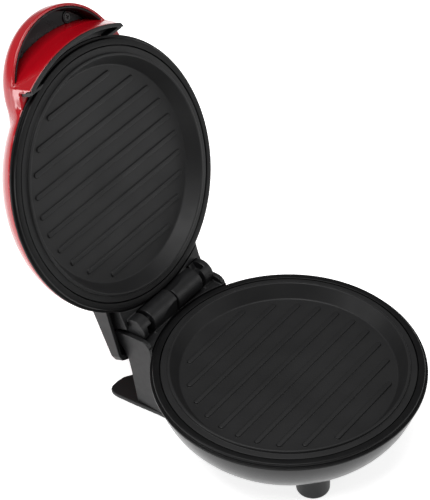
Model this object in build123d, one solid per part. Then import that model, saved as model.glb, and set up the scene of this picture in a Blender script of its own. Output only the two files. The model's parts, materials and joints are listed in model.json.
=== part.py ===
from build123d import *
import math
import os

# Round contact grill (panini press) for one sandwich or steak, modelled with
# its lid resting wide open.
# Row frame: millimetres, +Z up, Z = 0 on the worktop, +X to the right seen
# from the front, +Y to the rear (hinge side).
# Working frames used below:
#   rim frame  - origin at the centre of the base rim, Z = 0 on the rim plane
#   lid frame  - origin at the centre of the lid rim, Z = 0 on the lid's rim
#                plane and +Z towards the top of the dome, lid closed

# ---------------------------------------------------------------- dimensions
RIM_R = 80.0          # outer radius of both shells at the rim
RIM_H = 51.2          # base rim plane above the worktop
LID_GAP = 8.0         # rim plane to rim plane with the lid closed
AX_Y = 86.6           # hinge axis, rim frame
AX_Z = 5.9
OPEN_DEG = 112.0      # lid opening from closed to its stop

# ring profile, heights towards the opposite plate
BEZ_RI = 74.4
BEZ_RO = 78.4
BEZ_TOP = 1.3
FLANGE_TOP = -0.9
FLANGE_BOT = -2.2
PLATE_RO = 73.9
PLATE_TOP = 1.1
BEAD_RO = 70.0
BEAD_RI = 68.4
BEAD_TOP = 2.8
FLOOR_R = 63.2
FLOOR_Z = -5.5
PLATE_T = 2.4
RIB_PITCH = 11.56
RIB_W = 3.2
RIB_H = 0.9
RIB_END_R = 58.8

WALL = 2.2            # moulded shell wall
DOME_H = 40.0         # lid dome height above its rim plane
BOWL_RX = 78.0        # bowl meridian: semi-axis
BOWL_RZ = 51.2
BOWL_Z0 = -1.6        # height of the meridian's centre
BOWL_FLOOR = -43.5    # flat bottom of the bowl

# hinge
KN_R = 7.8            # knuckle radius
PIN_R = 2.0
BORE_R = 2.06
KX0, KX1, KX2, KX3 = 0.0, 22.7, 25.4, 33.2   # knuckle ends along X
KGAP = 0.4            # half gap beside a knuckle of the other body
DECK_TOP = 0.4
DECK_HALF = 36.4
CHEEK_IN = 33.7
CHEEK_OUT = 36.8
PIN_X0 = 31.2          # pin's left end, inside the blind bore of the left ear
EAR_X = 29.4           # inner wall of the pocket in each end ear

# tower and feet
TOWER_BOT = -48.2
FOOT_T = 2.6
FOOT_TOP = -47.6      # rear foot plate: top face, rim frame
FFOOT = (30.4, -38.6)
FFOOT_R = 9.8

# handle
VIS_Y = -61.4         # centre of the round visor, lid frame
VIS_R = 43.8
VIS_Z0 = 6.4
VIS_Z1 = 8.4
VIS_B = 17.4
PED_R0 = 86.9         # front wall of the finger recess: radius at the lip
PED_R1 = 89.6         # and at the recess ceiling
LIP_Z = -6.0
CEIL_Z = 15.2
DRAFT = 1.8           # the block's sides lean in by this much down to the lip
SPLIT_R = 89.9        # the visor overhang is its own node outside this radius

# hood behind the lid
HOOD_X = 42.0
HOOD_Y = 106.0
HOOD_TOP = 16.0
HOOD_T = 2.4


# ------------------------------------------------------------------- helpers
def rev(pts, deg=360.0):
    """Solid of revolution about Z from a closed (r, z) outline."""
    f = make_face(Polyline(*[(r, 0, z) for r, z in pts], close=True))
    return revolve(f, Axis.Z, deg)


def cyl(r, z0, z1, x=0.0, y=0.0):
    return Pos(x, y, (z0 + z1) / 2) * Cylinder(r, z1 - z0)


def cylx(r, x0, x1, y=AX_Y, z=AX_Z):
    return Pos((x0 + x1) / 2, y, z) * (Rot(0, 90, 0) * Cylinder(r, x1 - x0))


def box(x0, x1, y0, y1, z0, z1):
    return Pos((x0 + x1) / 2, (y0 + y1) / 2, (z0 + z1) / 2) * Box(x1 - x0, y1 - y0, z1 - z0)


def prism_x(pts, x0, x1):
    """Prism along X from a closed (y, z) outline."""
    f = make_face(Polyline(*[(x0, y, z) for y, z in pts], close=True))
    return extrude(f, amount=x1 - x0, dir=(1, 0, 0))


def prism_z(pts, z0, z1):
    f = make_face(Polyline(*[(x, y, z0) for x, y in pts], close=True))
    return extrude(f, amount=z1 - z0, dir=(0, 0, 1))


def meridian(rx, rz, z0, zend, n=1.0, steps=26, sign=1.0, power=2.0):
    """Points of a superelliptic meridian from the rim inwards."""
    out = []
    tmax = math.asin(min(1.0, (abs(zend - z0) / rz) ** (power / 2)))
    for i in range(steps + 1):
        t = tmax * i / steps
        out.append((rx * math.cos(t) ** (2 / power), z0 + sign * rz * math.sin(t) ** (2 / power)))
    return out


def revs(curve, closing):
    """Solid of revolution whose outline is one smooth curve and then straight
    closing edges back to its start."""
    sp = Spline(*[(r, 0, z) for r, z in curve])
    pts = [curve[-1]] + closing + [curve[0]]
    lines = [Line((a[0], 0, a[1]), (b[0], 0, b[1])) for a, b in zip(pts[:-1], pts[1:])]
    return revolve(make_face([sp] + lines), Axis.Z, 360)


def shell_of_rev(outer, inner, closing_a, closing_b):
    so = Spline(*[(r, 0, z) for r, z in outer])
    si = Spline(*[(r, 0, z) for r, z in inner])
    pa = [outer[-1]] + closing_a + [inner[-1]]
    pb = [inner[0]] + closing_b + [outer[0]]
    ls = [Line((a[0], 0, a[1]), (b[0], 0, b[1])) for p in (pa, pb) for a, b in zip(p[:-1], p[1:])]
    return revolve(make_face([so, si] + ls), Axis.Z, 360)


def mirror_z(shape):
    """Flip a part made for the base into its counterpart in the lid frame."""
    return mirror(shape, about=Plane.XY)


def group(shapes):
    out = []
    for s in shapes:
        out += list(s.solids())
    return Compound(children=out)


def screw(d, length, head_d, head_h, cross=True):
    """Pan-head screw, head underside at Z = 0, shank towards +Z."""
    s = cyl(d / 2, 0, length) + cyl(head_d / 2, -head_h, 0)
    s = s - box(-head_d * 0.30, head_d * 0.30, -0.35, 0.35, -head_h, -head_h * 0.45)
    s = s - box(-0.35, 0.35, -head_d * 0.30, head_d * 0.30, -head_h, -head_h * 0.45)
    return s


# ------------------------------------------------------------ cooking plates
def cooking_plate():
    prof = [(0, FLOOR_Z - PLATE_T), (0, FLOOR_Z), (FLOOR_R - 1.0, FLOOR_Z), (FLOOR_R, FLOOR_Z + 0.35),
            (FLOOR_R + 0.7, FLOOR_Z + 1.2), (BEAD_RI - 0.1, BEAD_TOP - 0.5), (BEAD_RI + 0.35, BEAD_TOP),
            (BEAD_RO - 0.5, BEAD_TOP), (BEAD_RO, BEAD_TOP - 0.5), (BEAD_RO + 0.1, PLATE_TOP),
            (PLATE_RO - 0.3, PLATE_TOP), (PLATE_RO, PLATE_TOP - 0.3), (PLATE_RO, -1.3),
            (BEAD_RO - 1.0, -1.3), (FLOOR_R + 1.6, FLOOR_Z - PLATE_T)]
    p = rev(prof)
    for k in range(5):
        y = RIB_PITCH * (k + 0.5)
        half = math.sqrt(RIB_END_R ** 2 - y ** 2) - RIB_W / 2
        for s in (-1, 1):
            slot = SlotCenterToCenter(2 * half, RIB_W)
            rib = extrude(Pos(0, s * y, FLOOR_Z - 0.4) * slot, amount=RIB_H + 0.4, taper=18)
            p = p + rib
    for a in (90, 210, 330):
        x, y = 31 * math.cos(math.radians(a)), 31 * math.sin(math.radians(a))
        p = p + cyl(4.2, FLOOR_Z - PLATE_T - 5.6, FLOOR_Z - PLATE_T + 0.5, x, y)
        p = p - cyl(1.45, FLOOR_Z - PLATE_T - 6, FLOOR_Z - PLATE_T + 0.6, x, y)
    return p


def element():
    zc = FLOOR_Z - PLATE_T - 3.15
    c = Pos(46, 0, zc) * (Rot(90, 0, 0) * Circle(3.0))
    ring = revolve(c, Axis.Z, 312)
    ring = Rot(0, 0, 90 + 24) * ring
    for a in (90 + 24, 90 + 24 + 312):
        x, y = 46 * math.cos(math.radians(a)), 46 * math.sin(math.radians(a))
        ring = ring + cyl(1.6, zc - 15, zc, x, y)
    return ring


def reflector():
    z = FLOOR_Z - PLATE_T - 8.4
    prof = [(0, z), (0, z + 0.6), (58.2, z + 0.6), (61.2, -8.6), (66.4, -8.6), (66.4, -9.2), (61.6, -9.2), (58.6, z)]
    r = rev(prof)
    for a in (90 + 24, 90 + 24 + 312):
        x, y = 46 * math.cos(math.radians(a)), 46 * math.sin(math.radians(a))
        r = r - cyl(3.2, z - 1, z + 1, x, y)
    for a in (90, 210, 330):
        x, y = 31 * math.cos(math.radians(a)), 31 * math.sin(math.radians(a))
        r = r - cyl(1.7, z - 1, z + 1, x, y)
    return r


def spacers():
    """Insulating washers between plate bosses and reflector."""
    z1 = FLOOR_Z - PLATE_T - 5.6
    z0 = FLOOR_Z - PLATE_T - 7.8
    out = []
    for a in (90, 210, 330):
        x, y = 31 * math.cos(math.radians(a)), 31 * math.sin(math.radians(a))
        out.append(cyl(4.2, z0, z1, x, y) - cyl(1.7, z0 - 1, z1 + 1, x, y))
    return group(out)


def plate_screws():
    z = FLOOR_Z - PLATE_T - 8.4
    out = []
    for a in (90, 210, 330):
        x, y = 31 * math.cos(math.radians(a)), 31 * math.sin(math.radians(a))
        out.append(Pos(x, y, z) * screw(2.8, 8.0, 6.0, 1.9))
    return group(out)


def thermostat():
    """Snap-action disc thermostat under the plate's centre."""
    z = FLOOR_Z - PLATE_T
    t = cyl(8.0, z - 5.6, z - 1.0) + cyl(6.6, z - 1.0, z) + box(-11.5, 11.5, -3.5, 3.5, z - 1.6, z - 0.9)
    t = t + box(-6.2, -5.4, -3.1, 3.1, z - 7.4, z - 5.0) + box(5.4, 6.2, -3.1, 3.1, z - 7.4, z - 5.0)
    return t


def bezel():
    prof = [(BEZ_RI, -1.5), (BEZ_RI, BEZ_TOP - 0.4), (BEZ_RI + 0.4, BEZ_TOP), (BEZ_RO - 0.8, BEZ_TOP),
            (BEZ_RO - 0.2, BEZ_TOP - 0.25), (BEZ_RO, BEZ_TOP - 0.8), (BEZ_RO, FLANGE_TOP),
            (RIM_R - 0.3, FLANGE_TOP), (RIM_R, FLANGE_TOP - 0.3), (RIM_R, FLANGE_BOT),
            (75.3, FLANGE_BOT), (75.3, -5.4), (74.0, -5.4), (74.0, -3.2), (70.6, -3.2), (70.6, -1.5)]
    return rev(prof)


# ------------------------------------------------------------------ base
def bowl_points(off, floor):
    """Meridian of the bowl moved inwards by off: elliptic side, then a round
    corner that runs tangent into the flat floor."""
    rx, rz = BOWL_RX - off, BOWL_RZ - off
    tj = math.radians(40)
    px, pz = rx * math.cos(tj), BOWL_Z0 - rz * math.sin(tj)
    nx, nz = -math.cos(tj) / rx, math.sin(tj) / rz
    nl = math.hypot(nx, nz)
    nx, nz = nx / nl, nz / nl
    rho = (pz - floor) / (1 - nz)
    cx, cz = px + rho * nx, pz + rho * nz
    a0 = math.atan2(-nz, -nx)
    pts = [(rx * math.cos(t), BOWL_Z0 - rz * math.sin(t)) for t in [math.radians(q) for q in (2.2, 5, 10, 16, 22, 28, 34)]]
    for i in range(0, 9):
        t = a0 + (-math.pi / 2 - a0) * i / 8
        pts.append((cx + rho * math.cos(t), cz + rho * math.sin(t)))
    return pts


bowl_outer = [(78.5, FLANGE_BOT)] + bowl_points(0.0, BOWL_FLOOR)
bowl_inner = [(76.4, FLANGE_BOT)] + bowl_points(WALL, BOWL_FLOOR + WALL)
base_shell = shell_of_rev(bowl_outer, bowl_inner, [(0, BOWL_FLOOR), (0, BOWL_FLOOR + WALL)], [])
# solid envelope of the bowl, used to shape what sits against it
bowl_env = revs([(78.6, FLANGE_BOT)] + bowl_points(-0.1, BOWL_FLOOR - 0.1), [(0, BOWL_FLOOR - 0.1), (0, FLANGE_BOT)])
base_rim_env = cyl(RIM_R + 0.15, FLANGE_BOT - 0.5, 12)

# vent slots in the bowl's floor
for x in (-12, -6, 0, 6, 12):
    base_shell = base_shell - extrude(Pos(x, 0, BOWL_FLOOR - 1) * (Rot(0, 0, 90) * SlotOverall(20, 2.0)), amount=WALL + 2)
# cable passage from the bowl into the tower
base_shell = base_shell - box(-9, 9, 60, 80, -26, -16)

base_bezel = bezel()
lower_plate = cooking_plate()
lower_element = element()
lower_reflector = reflector()
lower_spacers = spacers()
lower_plate_screws = plate_screws()
lower_thermostat = thermostat()

# front feet: moulded posts that meet the bowl, with a rubber pad under each
FOOT_Z = -RIM_H
def front_foot(sx):
    x, y = sx * FFOOT[0], FFOOT[1]
    prof = [(0, FOOT_Z + 0.5), (0, -20), (FFOOT_R, -20), (FFOOT_R, FOOT_Z + 1.9), (FFOOT_R - 0.2, FOOT_Z + 1.2),
            (FFOOT_R - 0.75, FOOT_Z + 0.7), (FFOOT_R - 1.5, FOOT_Z + 0.5)]
    f = Pos(x, y, 0) * rev(prof)
    f = f - bowl_env
    f = f - cyl(1.3, FOOT_Z, -30, x, y)
    f = f - cyl(4.6, FOOT_Z, FOOT_Z + 2.0, x, y)
    return f


front_foot_left = front_foot(-1)
front_foot_right = front_foot(1)
front_foot_pads = group([cyl(4.55, FOOT_Z, FOOT_Z + 1.98, s * FFOOT[0], FFOOT[1]) for s in (-1, 1)])

# rear foot plate: flat board under the tower with two rear lobes
fh = [(37.4, 70.5), (38.9, 86.0), (39.7, 98.6), (39.3, 102.0), (37.7, 104.4), (35.2, 105.5), (30.9, 105.5), (25.4, 104.4),
      (20.0, 100.9), (14.0, 97.7), (7.0, 95.9)]
fl = [(30.0, 40.5), (34.6, 43.0), (36.2, 50.0)]
fp = fl + fh + [(0.0, 95.4)] + [(-x, y) for x, y in fh[::-1]] + [(-x, y) for x, y in fl[::-1]] + [(0.0, 39.0)]
rear_foot = prism_z(fp, FOOT_TOP - FOOT_T, FOOT_TOP)
REAR_PADS = [(-32.2, 98.6), (32.2, 98.6)]
FOOT_SCREWS = [(-28.0, 78.0), (28.0, 78.0)]
for x, y in REAR_PADS:
    rear_foot = rear_foot - cyl(5.0, FOOT_Z, FOOT_TOP - FOOT_T + 0.8, x, y)
for x, y in FOOT_SCREWS:
    rear_foot = rear_foot - cyl(1.7, FOOT_TOP - FOOT_T - 1, FOOT_TOP + 1, x, y)
    rear_foot = rear_foot - cyl(3.3, FOOT_TOP - FOOT_T - 1, FOOT_TOP - FOOT_T + 1.2, x, y)
rear_foot_pads = group([cyl(4.95, FOOT_Z, FOOT_TOP - FOOT_T + 0.78, x, y) for x, y in REAR_PADS])

# tower: hollow rear post that carries the hinge
side = [(50.0, FOOT_TOP), (50.0, DECK_TOP), (78.0, DECK_TOP), (96.0, DECK_TOP), (95.4, -3.0), (92.0, -9.0),
        (88.6, -16.0), (87.0, -24.0), (85.4, -36.0), (83.8, FOOT_TOP)]
tower = prism_x(side, -CHEEK_OUT + 0.6, CHEEK_OUT - 0.6)
hollow = [(52.0, FOOT_TOP - 1), (52.0, -3.2), (78.0, -3.2), (78.2, -8.6), (84.6, -12.2), (86.0, -17.5), (84.4, -25.0),
          (82.8, -36.5), (81.2, FOOT_TOP - 1)]
tower = tower - prism_x(hollow, -CHEEK_OUT + 3.4, CHEEK_OUT - 3.4)
# side cheeks: rounded front corner, level top, flared rear corner
cheek = [(71.8, -10.0), (72.4, -2.0), (73.2, 1.4), (75.2, 3.4), (78.2, 4.3), (88.0, 3.6), (98.2, 2.2), (99.0, 1.0),
         (97.6, -2.6), (93.0, -9.0), (89.6, -16.0), (88.0, -24.0), (86.2, -36.0), (84.6, FOOT_TOP), (56.0, FOOT_TOP),
         (56.0, -10.0)]
for s in (-1, 1):
    c = prism_x(cheek, min(s * CHEEK_IN, s * CHEEK_OUT), max(s * CHEEK_IN, s * CHEEK_OUT))
    tower = tower + c
# screw bosses for the rear foot plate
for x, y in FOOT_SCREWS:
    tower = tower + cyl(4.0, FOOT_TOP, -30.0, x, y)
# room for the lid's knuckles and the webs that carry them
def sector(r, a0, a1, x0, x1):
    pts = [(AX_Y, AX_Z)]
    n = 24
    for i in range(n + 1):
        a = math.radians(a0 + (a1 - a0) * i / n)
        pts.append((AX_Y + r * math.cos(a), AX_Z + r * math.sin(a)))
    return prism_x(pts, x0, x1)


LIDK = [(-KX3, -KX2), (KX0, KX1)]        # knuckles that belong to the lid
BASEK = [(-KX1, KX0), (KX2, KX3)]        # knuckles that belong to the base
TROUGH = KN_R + 0.5
for a, b in LIDK:
    a2, b2 = a - (KGAP if a > -KX3 else 0.3), b + KGAP
    if a == -KX3:
        b2 = -KX1 - 0.1 - 0.0
    if b == KX1:
        b2 = KX2 - KGAP
        a2 = KGAP
    tower = tower - cylx(TROUGH, a2, b2)
    tower = tower - sector(22.5, -38, 172, a2, b2)
for a, b in BASEK:
    a2, b2 = (a, b)
    if b == KX0:
        b2 = -KGAP
    kn = cylx(KN_R, a2, b2)
    web = prism_x([(76.2, -3.0), (78.0, DECK_TOP), (80.2, DECK_TOP + 0.5), (82.0, AX_Z), (91.0, AX_Z), (94.4, 3.0),
                   (94.4, -4.0), (88.0, -8.0), (78.0, -8.0)], a2, b2)
    tower = tower + kn + (web - cylx(KN_R, a2, b2))
def pocket(a0, a1, x0, x1, z):
    pts = [(AX_Y + 3.6 * math.cos(math.radians(a1)), z + 3.6 * math.sin(math.radians(a1))),
           (AX_Y + 3.6 * math.cos(math.radians(a0)), z + 3.6 * math.sin(math.radians(a0)))]
    for i in range(9):
        a = math.radians(a0 + (a1 - a0) * i / 8)
        pts.append((AX_Y + 9.0 * math.cos(a), z + 9.0 * math.sin(a)))
    return prism_x(pts, x0, x1)


tower = tower - pocket(48, 118, KX2 - 0.1, EAR_X, AX_Z)
tower = tower - bowl_env - base_rim_env
tower = tower - cylx(BORE_R, -PIN_X0 - 0.2, CHEEK_IN + 0.1)
# cord gland hole low in the rear wall and cable passage to the bowl
GL_Z = -38.0
gl_hole = Pos(0, 84, GL_Z) * (Rot(90, 0, 0) * Cylinder(5.1, 12))
tower = tower - gl_hole
tower = tower - box(-9, 9, 60, 80, -26, -16)
for x, y in FOOT_SCREWS:
    tower = tower - cyl(1.55, FOOT_TOP - 1, -36.5, x, y)
ts = sorted(tower.solids(), key=lambda q: -q.volume)
print("tower solids", [round(q.volume, 1) for q in ts])
hinge_tower = ts[0]

# cord gland: flanged rubber bush in the rear wall
gy0, gy1 = 80.0, 88.4
cord_gland = (Pos(0, (gy0 + gy1) / 2, GL_Z) * (Rot(90, 0, 0) * Cylinder(5.0, gy1 - gy0))
              + Pos(0, 87.6, GL_Z) * (Rot(90, 0, 0) * Cylinder(7.2, 2.4)))
cord_gland = cord_gland - Pos(0, 84, GL_Z) * (Rot(90, 0, 0) * Cylinder(3.2, 30))
cord_gland = cord_gland - prism_x([(86.39, GL_Z - 9), (79, GL_Z - 9), (79, GL_Z + 9), (86.39, GL_Z + 9)], -9, 9) \
    + (Pos(0, (gy0 + 86.4) / 2, GL_Z) * (Rot(90, 0, 0) * Cylinder(5.0, 86.4 - gy0))
       - Pos(0, 84, GL_Z) * (Rot(90, 0, 0) * Cylinder(3.2, 30)))

hinge_pin = cylx(PIN_R, -PIN_X0, CHEEK_IN - 0.8)
rear_foot_screws = group([Pos(x, y, FOOT_TOP - FOOT_T + 1.2) * screw(3.0, 9.0, 6.2, 1.2) for x, y in FOOT_SCREWS])

# electrics in the base
terminal_block = (box(-14, 14, 8, 20, BOWL_FLOOR + WALL, BOWL_FLOOR + WALL + 9)
                  - cyl(1.6, BOWL_FLOOR + WALL + 3, BOWL_FLOOR + 20, -8, 14)
                  - cyl(1.6, BOWL_FLOOR + WALL + 3, BOWL_FLOOR + 20, 0, 14)
                  - cyl(1.6, BOWL_FLOOR + WALL + 3, BOWL_FLOOR + 20, 8, 14))
zr = FLOOR_Z - PLATE_T - 8.4
thermal_fuse = (Pos(-22, -6, zr - 2.75) * (Rot(90, 0, 0) * Cylinder(2.0, 12))
                + Pos(-22, -6, zr - 2.75) * (Rot(90, 0, 0) * Cylinder(0.6, 26)))
strap = box(-31, -19.0, -8, -4, zr - 0.65, zr - 0.05)
fuse_clip = strap + box(-19.8, -19.0, -8, -4, zr - 5.1, zr - 0.05) + box(-24.6, -19.0, -8, -4, zr - 5.6, zr - 5.0)

# ------------------------------------------------------------------- lid
deg = math.radians
dome_out = [(RIM_R * math.cos(deg(a)), DOME_H * math.sin(deg(a))) for a in (3.2, 8, 14, 20, 28, 36, 44, 52, 60, 68, 76, 84, 90)]
dome_in = [((RIM_R - WALL) * math.cos(deg(a)), (DOME_H - WALL) * math.sin(deg(a))) for a in (3.4, 8, 14, 20, 28, 36, 44, 52, 60, 68, 76, 84, 90)]
dome_out[0] = (79.7, 2.2)
dome_in[0] = (77.4, 2.2)
dome_out[-1] = (0.0, DOME_H)
dome_in[-1] = (0.0, DOME_H - WALL)


def solid_of(curve, z0):
    return revs(curve, [(0, z0)]) if abs(curve[0][1] - z0) < 1e-6 else revs(curve, [(0, z0), (curve[0][0], z0)])


def visor_curve(dr, dz_, z0):
    out = [(VIS_R - dr, z0), (VIS_R - dr, (z0 + VIS_Z1) / 2)]
    n = 3.0
    for i in range(0, 25):
        t = math.pi / 2 * i / 24
        out.append(((VIS_R - dr) * max(math.cos(t), 0.0) ** (2 / n), VIS_Z1 + (VIS_B - dz_) * math.sin(t) ** (2 / n)))
    out[-1] = (0.0, VIS_Z1 + VIS_B - dz_)
    return out


def visor_solid(dr, dz_, z0):
    """Solid under the visor's rounded top, down to z0, about its own axis."""
    c = visor_curve(dr, dz_, VIS_Z1)[2:]
    sp = Spline(*[(r, 0, z) for r, z in c])
    ls = [Line((0, 0, c[-1][1]), (0, 0, z0)), Line((0, 0, z0), (c[0][0], 0, z0)), Line((c[0][0], 0, z0), (c[0][0], 0, c[0][1]))]
    return Pos(0, VIS_Y, 0) * revolve(make_face([sp] + ls), Axis.Z, 360)


def cone_disc(r0, z0, r1, z1):
    return rev([(0, z0), (r0, z0), (r1, z1), (0, z1)])


slope = (PED_R1 - PED_R0) / (CEIL_Z - LIP_Z)
ped_out = cone_disc(PED_R0, LIP_Z, PED_R1 + slope * 6, CEIL_Z + 6)
ped_in = cone_disc(PED_R0 - WALL, LIP_Z - 1, PED_R1 - WALL + slope * 6, CEIL_Z + 6)

dome_solid = solid_of(dome_out, 2.2)
dome_hollow = solid_of(dome_in, 2.2)
visor_out = visor_solid(0.0, 0.0, VIS_Z0)
visor_in = visor_solid(1.7, 1.8, VIS_Z0 - 1)

# block under the visor: its front wall backs the finger recess, its sides
# carry the visor's round outline down to the lip
vis_cyl = (Pos(0, VIS_Y, 0) * cone_disc(VIS_R - DRAFT, LIP_Z, VIS_R, VIS_Z0)
           + Pos(0, VIS_Y, 0) * cyl(VIS_R, VIS_Z0, CEIL_Z + 1.0))
ped_block = vis_cyl & ped_out
ped_block = ped_block - box(-60, 60, -73.8, 60, LIP_Z - 1, 2.2)
# splayed corner at each end of the front wall
for s in (-1, 1):
    pa = Vector(s * 38.4, -80.4, 6.4)
    pb = Vector(s * 34.6, -79.8, LIP_Z)
    pc = Vector(s * 40.4, -76.9, LIP_Z)
    nrm = (pb - pa).cross(pc - pa).normalized()
    if nrm.Y > 0:
        nrm = nrm * -1
    pl = Plane(origin=(pa + pb + pc) / 3, z_dir=nrm)
    cutter = pl * Pos(0, 0, 5) * Box(60, 60, 10)
    ped_block = ped_block - (cutter & box(min(s * 26, s * 60), max(s * 26, s * 60), -95, -60, LIP_Z - 2, 6.4))
ped_core = (Pos(0, VIS_Y, 0) * cyl(VIS_R - WALL, LIP_Z - 1, CEIL_Z + 1.0)) & ped_in

lid_body = dome_solid + visor_out + ped_block
lid_body = lid_body - dome_hollow
# the block is solid below Z = 4.6, where it forms the lip
lid_body = lid_body - (ped_core - cyl(200, LIP_Z - 2, 4.6))
lid_body = lid_body - (visor_in - cyl(200, VIS_Z0 - 3, CEIL_Z + 1.9))
# finger recess: from below up to the liner's back, in front of the block
recess = visor_solid(1.7, 1.8, LIP_Z - 4) & box(-60, 60, -130, -20, LIP_Z - 5, CEIL_Z + 2.0)
recess = recess - cone_disc(PED_R0 - slope * 4, LIP_Z - 4, PED_R1 + slope * 4, CEIL_Z + 4)
recess = recess & box(-60, 60, -130, -70, LIP_Z - 5, CEIL_Z + 2.0)
lid_body = lid_body - recess
# screw bosses under the visor for the handle liner
HS = (21.2, -90.7)
for s in (-1, 1):
    b = cyl(3.2, CEIL_Z + 2.05, VIS_Z1 + VIS_B - 0.6, s * HS[0], HS[1])
    lid_body = lid_body + (b & visor_out)
    lid_body = lid_body - cyl(1.25, CEIL_Z, CEIL_Z + 5.2, s * HS[0], HS[1])
# seat of the black lip strip and of the ring that closes the lid
lid_body = lid_body - cyl(85.7, LIP_Z - 3, 2.2) - cyl(120, LIP_Z - 5, LIP_Z)
ls_ = sorted(lid_body.solids(), key=lambda q: -q.volume)
print("lid solids", [round(q.volume, 1) for q in ls_])
lid_shell = ls_[0]
# the overhang that roofs the finger recess, as a node beside the dome
overhang = box(-60, 60, -140, -60, -20, 60) - cyl(SPLIT_R, -30, 70)
handle_visor = lid_shell & overhang
lid_shell = lid_shell - overhang
for nm, q in (("lid_shell", lid_shell), ("handle_visor", handle_visor)):
    print(nm, "solids", [round(v.volume, 1) for v in sorted(q.solids(), key=lambda v: -v.volume)], q.is_valid)
lid_shell = sorted(lid_shell.solids(), key=lambda q: -q.volume)[0]
assert len(handle_visor.solids()) == 1, "the overhang has to be one wall"
handle_visor = handle_visor.solids()[0]

# black liner of the finger recess: ceiling plate and front wall in one moulding
ins = Pos(0, VIS_Y, 0) * rev([(0, CEIL_Z), (0, CEIL_Z + 1.9), (41.9, CEIL_Z + 1.9), (42.05, VIS_Z0 + 0.15), (40.7, VIS_Z0 + 0.15), (39.4, CEIL_Z)])
ins = ins - cone_disc(PED_R0 - slope * 4 + 0.12, LIP_Z - 4, PED_R1 + slope * 4 + 0.12, CEIL_Z + 4)
ins = ins & box(-60, 60, -130, -70, 0, CEIL_Z + 4)
ins = ins & visor_solid(1.85, 1.95, VIS_Z0 - 1)
for s in (-1, 1):
    ins = ins + cyl(3.6, CEIL_Z - 0.9, CEIL_Z + 0.5, s * HS[0], HS[1])
    ins = ins - cyl(2.5, CEIL_Z - 2, CEIL_Z + 0.6, s * HS[0], HS[1])
    ins = ins - cyl(1.35, CEIL_Z - 2, CEIL_Z + 3, s * HS[0], HS[1])
handle_insert = ins
handle_screws = group([Pos(s * HS[0], HS[1], CEIL_Z + 0.6) * screw(2.4, 4.4, 4.6, 1.4) for s in (-1, 1)])

# lid-side copies of the plate stack, mirrored to face down
lid_bezel = mirror_z(bezel())
# black lip strip: under the block and up its inner side to the ring
lip_plan = (Pos(0, VIS_Y, 0) * cyl(VIS_R - DRAFT, LIP_Z - 3, 4)) - box(-60, 60, -73.8, 60, LIP_Z - 4, 5)
lid_lip = (lip_plan & cyl(PED_R0 - 0.05, LIP_Z - 1.2, LIP_Z)) - cyl(84.5, LIP_Z - 3, LIP_Z + 2)
lid_lip = lid_lip + ((lip_plan & cyl(85.6, LIP_Z - 1.2, 2.2)) - cyl(84.5, LIP_Z - 3, 3))
lid_lip = lid_lip + ((lip_plan & cyl(85.6, 1.0, 2.2)) - cyl(80.1, 0, 3))
for s in (-1, 1):
    rib = (lip_plan & (cyl(85.0, LIP_Z + 1.2, 1.2) - cyl(80.15, LIP_Z, 3))) & box(min(s * 28, s * 50), max(s * 28, s * 50), -75.6, -73.8, LIP_Z, 3)
    lid_lip = lid_lip + rib

upper_plate = mirror_z(cooking_plate())
upper_element = mirror_z(element())
upper_reflector = mirror_z(reflector())
upper_spacers = mirror_z(spacers())
upper_plate_screws = mirror_z(plate_screws())
upper_thermal_limiter = mirror_z(thermostat())

# hinge bracket of the lid: deck, knuckles and rear hood in one moulding
LAX_Z = AX_Z - LID_GAP        # hinge axis height in the lid frame
dome_env = solid_of([((r + 0.12) if r > 0 else 0.0, z + (0.1 if z > 10 else 0)) for r, z in dome_out], 2.2)
rim_env = cyl(RIM_R + 0.15, -6, 2.6)
deck = box(-DECK_HALF, DECK_HALF, 60, 80.0, 0.0, 3.0)
hr = 5.6
hood_plan = [(-HOOD_X, 50.0), (-HOOD_X, HOOD_Y - hr), (-HOOD_X + hr * 0.3, HOOD_Y - hr * 0.3), (-HOOD_X + hr, HOOD_Y),
             (HOOD_X - hr, HOOD_Y), (HOOD_X - hr * 0.3, HOOD_Y - hr * 0.3), (HOOD_X, HOOD_Y - hr), (HOOD_X, 50.0)]
hx, hy = HOOD_X - HOOD_T, HOOD_Y - HOOD_T
hri = hr - 1.2
hood_plan_in = [(-hx, 40.0), (-hx, hy - hri), (-hx + hri * 0.3, hy - hri * 0.3), (-hx + hri, hy),
                (hx - hri, hy), (hx - hri * 0.3, hy - hri * 0.3), (hx, hy - hri), (hx, 40.0)]
hood = prism_z(hood_plan, 3.0, HOOD_TOP)
hood = hood - prism_z(hood_plan_in, 2.0, HOOD_TOP - HOOD_T)
# sloping lower edge of the hood
hood = hood - prism_x([(40.0, -2.0), (40.0, 4.0), (66.0, 4.4), (101.0, 9.4), (115.0, 10.6), (115.0, -2.0)], -60, 60)
webs = deck
for a, b in LIDK:
    a2, b2 = (a, b)
    if a == KX0:
        a2 = KGAP
    kn = cylx(KN_R, a2, b2, AX_Y, LAX_Z)
    w = prism_x([(78.0, 0.0), (79.2, 0.0), (AX_Y - KN_R + 0.8, LAX_Z + 1.4), (AX_Y, LAX_Z + 0.5),
                 (AX_Y + 1.9, LAX_Z + KN_R - 0.4), (AX_Y + 4.1, HOOD_TOP - 1.0), (78.0, HOOD_TOP - 1.0)], a2, b2)
    webs = webs + kn + w
# the deck continues between the webs and up to the hood's side walls
for s in (-1, 1):
    webs = webs + box(min(s * 34.4, s * 36.4), max(s * 34.4, s * 36.4), 62, 84.0, 0.0, HOOD_TOP - 1.0)
    webs = webs + box(min(s * 36.0, s * 41.0), max(s * 36.0, s * 41.0), 66, 69.0, 4.6, HOOD_TOP - 1.0)
bracket = webs + hood
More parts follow.
